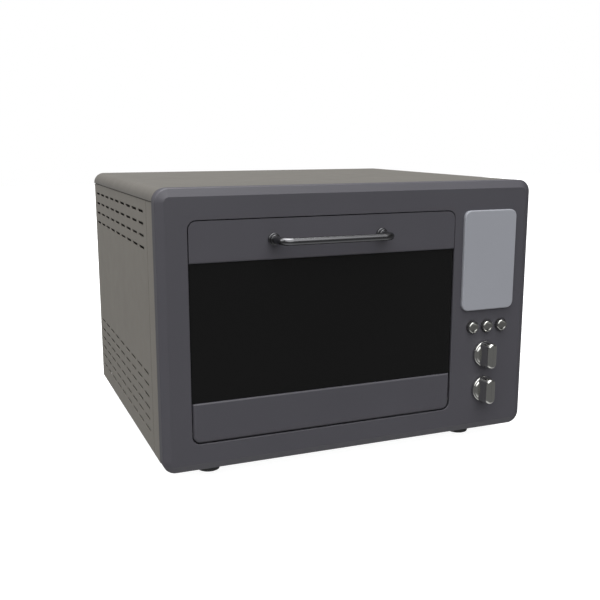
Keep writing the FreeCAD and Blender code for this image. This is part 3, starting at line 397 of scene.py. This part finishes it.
def fitted(piece, body, slot, *replaced, angle=35.0):
    """Gives a finished piece its finish and its body, and hides the CAD nodes that it stands for."""
    take_up(piece)
    bpy.ops.object.shade_smooth_by_angle(angle=math.radians(angle))
    piece.data.materials.clear()
    piece.data.materials.append(finishes[slot])
    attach(piece, body)
    if replaced:
        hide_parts(*replaced)
    put_down()
    return piece


def turned(name, axis, seat, profile, sides=64):
    """A round piece: a disc extruded and resized step by step through (distance, radius) pairs."""
    put_down()
    level, radius = profile[0]
    seat = Vector(seat)
    bpy.ops.mesh.primitive_circle_add(vertices=sides, radius=radius, fill_type="NGON",
                                      location=seat + along(axis, level), rotation=facing(axis))
    piece = bpy.context.object
    piece.name = name
    bpy.ops.object.mode_set(mode="EDIT")
    bpy.ops.mesh.select_mode(type="FACE")
    bpy.ops.mesh.select_all(action="SELECT")
    for next_level, next_radius in profile[1:]:
        step = along(axis, next_level - level)
        bpy.ops.mesh.extrude_region_move(TRANSFORM_OT_translate={"value": step})
        ratio = next_radius / radius
        bpy.ops.transform.resize(value=(ratio, ratio, ratio), center_override=seat + along(axis, next_level))
        level, radius = next_level, next_radius
    put_down()
    settle(piece)
    face_out(piece)
    return piece


def block(name, low, high):
    put_down()
    low, high = Vector(low), Vector(high)
    bpy.ops.mesh.primitive_cube_add(size=1, location=(low + high) / 2, scale=high - low)
    piece = bpy.context.object
    piece.name = name
    settle(piece)
    return piece


def copied(piece, name, move):
    """A copy with its own mesh, moved in place."""
    take_up(piece)
    bpy.ops.object.duplicate()
    twin = bpy.context.object
    twin.name = name
    twin.location = move
    settle(twin)
    return twin


# ---------------------------------------------------------------- knobs and buttons
KNOB_SKIRT = 5.0 * MM       # thickness of the disc
GRIP_WIDTH = 12.8 * MM      # at its front
GRIP_BASE = 20.0 * MM       # at its foot
GRIP_SHY = 0.6 * MM         # how far its ends stop short of the disc's rim
GRIP_CORNER = 6.2 * MM
GRIP_EDGE = 2.6 * MM

# shares of the disc's thickness and radius, from its back to its face
KNOB_RIM = [(0.0, 0.95), (0.06, 1.0), (0.52, 1.0), (0.62, 0.985), (0.7, 0.955), (0.74, 0.91), (0.74, 0.86),
            (0.8, 0.83), (0.92, 0.78), (0.99, 0.66), (1.0, 0.4)]


def knob(node, body):
    """A plated disc with a rolled rim, and an upright grip that narrows towards its front."""
    low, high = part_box(node)
    seat = Vector(((low.x + high.x) / 2, high.y, (low.z + high.z) / 2))
    radius = (high.x - low.x) / 2
    disc = turned(node + "_disc", "y", seat, [(-KNOB_SKIRT * d, radius * r) for d, r in KNOB_RIM], 96)
    half, tall = GRIP_BASE / 2, radius - GRIP_SHY
    grip = block("grip", (seat.x - half, low.y, seat.z - tall),
                 (seat.x + half, seat.y - KNOB_SKIRT / 2, seat.z + tall))
    choose(grip, "VERT", lambda corner: corner.y < low.y + HAIR)
    bpy.ops.transform.resize(value=(GRIP_WIDTH / GRIP_BASE, 1, 1), center_override=(seat.x, low.y, seat.z))
    put_down()
    soften(grip, GRIP_CORNER, 8, lambda a, b: abs(a.y - b.y) > HAIR and abs(a.z - b.z) < HAIR)
    soften(grip, GRIP_EDGE, 5, lambda a, b: max(a.y, b.y) < low.y + HAIR)
    return fitted(merged(node + "_chrome", [disc, grip]), body, "knob_chrome", node, angle=30.0)


BUTTON_LIP = 1.4 * MM           # how far the flange stands out past the cap
BUTTON_STEM = 3.0 * MM
BUTTON_STEM_EDGE = 0.4 * MM
BUTTON_FLANGE_FRONT = 9.1 * MM
BUTTON_FLANGE_BACK = 10.7 * MM

# distance behind the front and distance in from the cap's side, in millimetres
BUTTON_FACE = [(9.1, 0.0), (1.7, 0.0), (0.95, 0.2), (0.35, 0.65), (0.05, 1.25), (0.0, 1.8), (0.2, 2.3),
               (0.55, 3.2), (0.8, 4.6)]
BUTTON_DISH = (0.9 * MM, 1.0 * MM)      # middle of the dish: distance behind the front, and radius


def push_button(node, body):
    """A plated cap with a rounded rim and a shallow dish, its retaining flange and its stem."""
    low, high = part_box(node)
    seat = Vector(((low.x + high.x) / 2, low.y, (low.z + high.z) / 2))
    flange = (high.x - low.x) / 2
    cap = flange - BUTTON_LIP
    length = high.y - low.y
    profile = [(length, BUTTON_STEM - BUTTON_STEM_EDGE), (length - BUTTON_STEM_EDGE, BUTTON_STEM),
               (BUTTON_FLANGE_BACK, BUTTON_STEM), (BUTTON_FLANGE_BACK, flange), (BUTTON_FLANGE_FRONT, flange)]
    profile += [(behind * MM, cap - inwards * MM) for behind, inwards in BUTTON_FACE] + [BUTTON_DISH]
    cap = turned(node + "_chrome", "y", seat, profile)
    return fitted(cap, body, "button_chrome", node, angle=40.0)


knob("upper_knob", "upper_dial")
knob("lower_knob", "lower_dial")
push_button("left_button", "button_one")
push_button("middle_button", "button_two")
push_button("right_button", "button_three")


# ---------------------------------------------------------------- feet
FOOT_TOP = 16.5 * MM
FOOT_SOLE = 14.0 * MM
FOOT_STEM = 4.0 * MM
FOOT_HOLLOW = 1.2 * MM      # depth of the dish under the sole
FOOT_RIBS = 5
FOOT_RIBS_START = 2.0 * MM
FOOT_RIBS_MARGIN = 4.0 * MM
FOOT_GROOVE = 0.9 * MM


def ribbed_feet():
    """Four tapered rubber feet with ribs, a hollow sole and a stem; an outline is height and radius."""
    low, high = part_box("feet")
    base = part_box("bottom_plate")[0].z
    height = base - low.z
    stem_top = high.z - low.z
    pitch = (height - FOOT_RIBS_MARGIN) / FOOT_RIBS
    profile = [(FOOT_HOLLOW, FOOT_STEM), (FOOT_HOLLOW, 8.0 * MM), (0.0, 9.0 * MM),
               (0.0, FOOT_SOLE - 1.2 * MM), (0.35 * MM, FOOT_SOLE - 0.35 * MM), (1.2 * MM, FOOT_SOLE)]
    for i in range(FOOT_RIBS):
        bottom = FOOT_RIBS_START + i * pitch
        radius = FOOT_SOLE + (FOOT_TOP - FOOT_SOLE) * (bottom + pitch / 2) / height
        groove = radius - FOOT_GROOVE
        profile += [(bottom, radius), (bottom + 0.62 * pitch, radius), (bottom + 0.7 * pitch, groove),
                    (bottom + 0.95 * pitch, groove)]
    profile += [(height - 1.6 * MM, FOOT_TOP), (height - 0.5 * MM, FOOT_TOP), (height, FOOT_TOP - 0.5 * MM),
                (height, FOOT_STEM), (stem_top - 0.6 * MM, FOOT_STEM), (stem_top, FOOT_STEM - 0.6 * MM)]
    foot = turned("foot_1", "z", Vector((low.x + FOOT_TOP, low.y + FOOT_TOP, low.z)), profile, 48)
    across, deep = high.x - low.x - 2 * FOOT_TOP, high.y - low.y - 2 * FOOT_TOP
    moves = [(across, 0, 0), (0, deep, 0), (across, deep, 0)]
    others = [copied(foot, "foot_" + str(i), move) for i, move in enumerate(moves, 2)]
    fitted(foot, "oven", "foot_rubber", "feet")
    for other in others:
        fitted(other, "oven", "foot_rubber")


ribbed_feet()


# ---------------------------------------------------------------- mineral wool
WOOL_SHY = 1.2 * MM             # kept clear of the space's edge
WOOL_CUTS = 40
WOOL_RAGGED = 1.4 * MM
WOOL_EDGE = 2.5 * MM
WOOL_THICK = 8.0 * MM
WOOL_FRONT_CLEAR = 40.0 * MM    # the side batt starts this far behind the roof batt
WOOL_BELOW_ROOF = 27.0 * MM


def wool_batt(name, low, high, thin, seed, *replaced):
    """A batt of mineral wool: full in the middle, soft at its edges and uneven all over."""
    centre = (low + high) / 2
    inner = Vector([WOOL_SHY] * 3)
    batt = block(name, low + inner, high - inner)
    take_up(batt)
    bpy.ops.object.mode_set(mode="EDIT")
    bpy.ops.mesh.select_all(action="SELECT")
    bpy.ops.mesh.subdivide(number_cuts=WOOL_CUTS)
    put_down()
    others = [i for i in range(3) if i != thin]
    half = (high - low) / 2
    for spot in batt.data.vertices:
        share = [abs(spot.co[i] - centre[i]) / half[i] for i in others]
        edge = 1.0 - max(share)
        crown = 0.45 + 0.55 * min(1.0, edge * 9.0) ** 0.5
        lump = noise.noise(spot.co * 38.0 + Vector((seed, 0, 0))) * 0.09 - 0.05
        spot.co[thin] = centre[thin] + (spot.co[thin] - centre[thin]) * (crown + lump)
        for i in others:
            ragged = noise.noise(spot.co * 60.0 + Vector((0, seed, i * 7.0))) * WOOL_RAGGED
            if abs(spot.co[i] - centre[i]) > half[i] - WOOL_EDGE:
                spot.co[i] -= math.copysign(abs(ragged), spot.co[i] - centre[i])
    fitted(batt, "oven", "mineral_wool", *replaced, angle=80.0)


def insulation():
    """One batt over the ceiling and one beside the left wall of the cooking space."""
    low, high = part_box("insulation")
    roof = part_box("cavity_ceiling")[1].z
    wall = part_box("cavity_left_wall")[0].x
    over_low = Vector((wall + 5.0 * MM, low.y, roof + 0.3 * MM))
    wool_batt("wool_over_ceiling", over_low, high, 2, 3.0, "insulation")
    beside_low = Vector((low.x, low.y + WOOL_FRONT_CLEAR, low.z))
    beside_high = Vector((low.x + WOOL_THICK, high.y, roof - WOOL_BELOW_ROOF))
    wool_batt("wool_beside_wall", beside_low, beside_high, 0, 8.0)


insulation()


# ---------------------------------------------------------------- blank plate on the back
PLATE_SIZE = Vector((70.0, 0.6, 34.0)) * MM
PLATE_FROM_SIDE = 150.0 * MM
PLATE_FROM_BELOW = 22.0 * MM
PLATE_CORNER = 2.5 * MM
RIVET_INSET = 4.2 * MM
RIVET_SINK = 0.2 * MM
# height and radius, in millimetres
RIVET_DOME = [(0.0, 1.6), (0.35, 1.55), (0.7, 1.2), (0.9, 0.6), (0.92, 0.2)]


def blank_plate():
    """A thin aluminium plate with rolled edges, held on the rear panel by four rivets."""
    low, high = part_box("rear_panel")
    corner = Vector((high.x - PLATE_FROM_SIDE, high.y, low.z + PLATE_FROM_BELOW))
    far = corner + PLATE_SIZE
    plate = block("rear_plate", corner, far)
    soften(plate, PLATE_CORNER, 4, lambda a, b: abs(a.x - b.x) < HAIR and abs(a.z - b.z) < HAIR)
    choose(plate, "FACE", lambda face: face.normal.y > 0.99)
    bpy.ops.mesh.inset(thickness=1.6 * MM)
    bpy.ops.mesh.inset(thickness=0.4 * MM, depth=-0.2 * MM)
    put_down()
    dome = [(height * MM, radius * MM) for height, radius in RIVET_DOME]
    rivets = [turned("rivet", "y", (x, far.y - RIVET_SINK, z), dome, 20)
              for x in (corner.x + RIVET_INSET, far.x - RIVET_INSET)
              for z in (corner.z + RIVET_INSET, far.z - RIVET_INSET)]
    fitted(merged("rear_plate", [plate] + rivets), "oven", "channel_aluminium")


blank_plate()


# ---------------------------------------------------------------- stage, camera and light
FLOOR_TONE = rgb(165, 165, 165)
FLOOR_GLOW = 0.92
FLOOR_SIZE = 12.0


def pale_floor():
    """A pale floor that glows by itself and catches faint shadows; it lights nothing and isn't reflected."""
    finish = Finish("pale floor", Emission_Strength=FLOOR_GLOW)
    worn_colour(finish, FLOOR_TONE, 0.01, 2.0)
    finish.feed(Roughness=finish.noise(8.0) * 0.1 + 0.8)
    finish.surface.node.inputs["Emission Color"].default_value = (1, 1, 1, 1)
    bpy.ops.mesh.primitive_plane_add(size=FLOOR_SIZE, location=(0, 0, 0))
    floor = bpy.context.object
    floor.name = "floor"
    floor.visible_glossy = floor.visible_diffuse = floor.visible_shadow = False
    floor.data.materials.append(finish.material)


# brightness of the room against direction: -1 is straight down or in front, 1 is straight up or behind
ROOM_BY_HEIGHT = [(-1.0, 0.75), (-0.75, 0.5), (-0.5, 0.15), (0.0, 0.15), (0.2, 0.06), (0.55, 0.07),
                  (0.8, 0.25), (1.0, 0.31)]
ROOM_BY_DEPTH = [(-1.0, 0.0), (0.0, 0.01), (0.6, 0.05), (1.0, 0.09)]
# the soft bright patch: 1 is straight towards it, -1 straight away from it
WINDOW_TOWARDS = (-0.15, -0.7, 0.72)
WINDOW_FALLOFF = [(-1.0, 0.0), (0.7, 0.0), (0.85, 2.05), (1.0, 2.05)]


def room():
    """White to the camera; for the lighting a dim room, brighter above and below, with one bright patch."""
    world = bpy.data.worlds.new("studio")
    scene.world = world
    world.use_nodes = True
    tree = world.node_tree
    tree.nodes.clear()
    new, link = tree.nodes.new, tree.links.new

    def brightness(socket, stops):
        """Grey for a value from -1 to 1, read from (value, grey) stops."""
        spread, ramp = new("ShaderNodeMapRange"), new("ShaderNodeValToRGB")
        spread.inputs["From Min"].default_value = -1.0
        link(socket, spread.inputs["Value"])
        link(spread.outputs[0], ramp.inputs[0])
        while len(ramp.color_ramp.elements) < len(stops):
            ramp.color_ramp.elements.new(0.5)
        for element, (place, tone) in zip(ramp.color_ramp.elements, stops):
            element.position = (place + 1) / 2
            element.color = (tone, tone, tone, 1.0)
        return ramp.outputs[0]

    def added(first, second):
        total = new("ShaderNodeMix")
        total.data_type = "RGBA"
        total.blend_type = "ADD"
        total.inputs[0].default_value = 1.0
        link(first, total.inputs[6])
        link(second, total.inputs[7])
        return total.outputs[2]

    where = new("ShaderNodeTexCoord").outputs["Generated"]
    parts = new("ShaderNodeSeparateXYZ")
    link(where, parts.inputs[0])
    window = new("ShaderNodeVectorMath")
    window.operation = "DOT_PRODUCT"
    window.inputs[1].default_value = Vector(WINDOW_TOWARDS).normalized()
    link(where, window.inputs[0])
    walls = added(brightness(parts.outputs[2], ROOM_BY_HEIGHT), brightness(parts.outputs[1], ROOM_BY_DEPTH))
    around, seen = new("ShaderNodeBackground"), new("ShaderNodeBackground")
    link(added(walls, brightness(window.outputs["Value"], WINDOW_FALLOFF)), around.inputs["Color"])
    seen.inputs["Color"].default_value = (1, 1, 1, 1)
    mix, out = new("ShaderNodeMixShader"), new("ShaderNodeOutputWorld")
    link(new("ShaderNodeLightPath").outputs["Is Camera Ray"], mix.inputs[0])
    link(around.outputs[0], mix.inputs[1])
    link(seen.outputs[0], mix.inputs[2])
    link(mix.outputs[0], out.inputs[0])


OVERHEAD = {"strength": 3.2, "spread": 50.0, "left": 4.0, "front": 6.0}     # the last three in degrees
SOFTBOX = {"power": 12.5, "place": (-1.7, 0.2, 1.4), "aim": (0, 0, 0.2), "size": (1.2, 1.4)}


def studio_lamp(name, kind, energy):
    data = bpy.data.lights.new(name, kind)
    data.energy = energy
    stand = bpy.data.objects.new(name, data)
    scene.collection.objects.link(stand)
    return data, stand


def lights():
    """A broad even light overhead, tipped a little to the left and front, and a softbox on the left."""
    data, stand = studio_lamp("overhead light", "SUN", OVERHEAD["strength"])
    data.angle = math.radians(OVERHEAD["spread"])
    stand.rotation_euler = (-math.radians(OVERHEAD["front"]), -math.radians(OVERHEAD["left"]), 0)
    data, stand = studio_lamp("left softbox", "AREA", SOFTBOX["power"])
    data.shape = "RECTANGLE"
    data.size, data.size_y = SOFTBOX["size"]
    stand.location = SOFTBOX["place"]
    reach = Vector(SOFTBOX["aim"]) - Vector(SOFTBOX["place"])
    stand.rotation_euler = reach.to_track_quat("-Z", "Y").to_euler()


CAMERA_LENS = 50.04
CAMERA_LEFT = 0.4503        # of the frame's origin
CAMERA_AHEAD = 0.9045       # of the bezel's front
CAMERA_ABOVE = 0.3907       # the bezel's lower edge
CAMERA_DOWN = 11.178        # degrees below level
CAMERA_RIGHT = 22.318       # degrees turned to the right


def camera():
    """A 50 mm lens, left of the oven and above it, looking slightly down."""
    data = bpy.data.cameras.new("camera")
    data.lens = CAMERA_LENS
    data.sensor_width = 36.0
    data.clip_end = 50.0
    stand = bpy.data.objects.new("camera", data)
    scene.collection.objects.link(stand)
    bezel_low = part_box("front_bezel")[0]
    stand.location = (-CAMERA_LEFT, bezel_low.y - CAMERA_AHEAD, bezel_low.z + CAMERA_ABOVE)
    stand.rotation_euler = (math.radians(90 - CAMERA_DOWN), 0, math.radians(-CAMERA_RIGHT))
    scene.camera = stand


pale_floor()
room()
lights()
camera()
scene.view_settings.view_transform = "Standard"
scene.view_settings.look = "None"
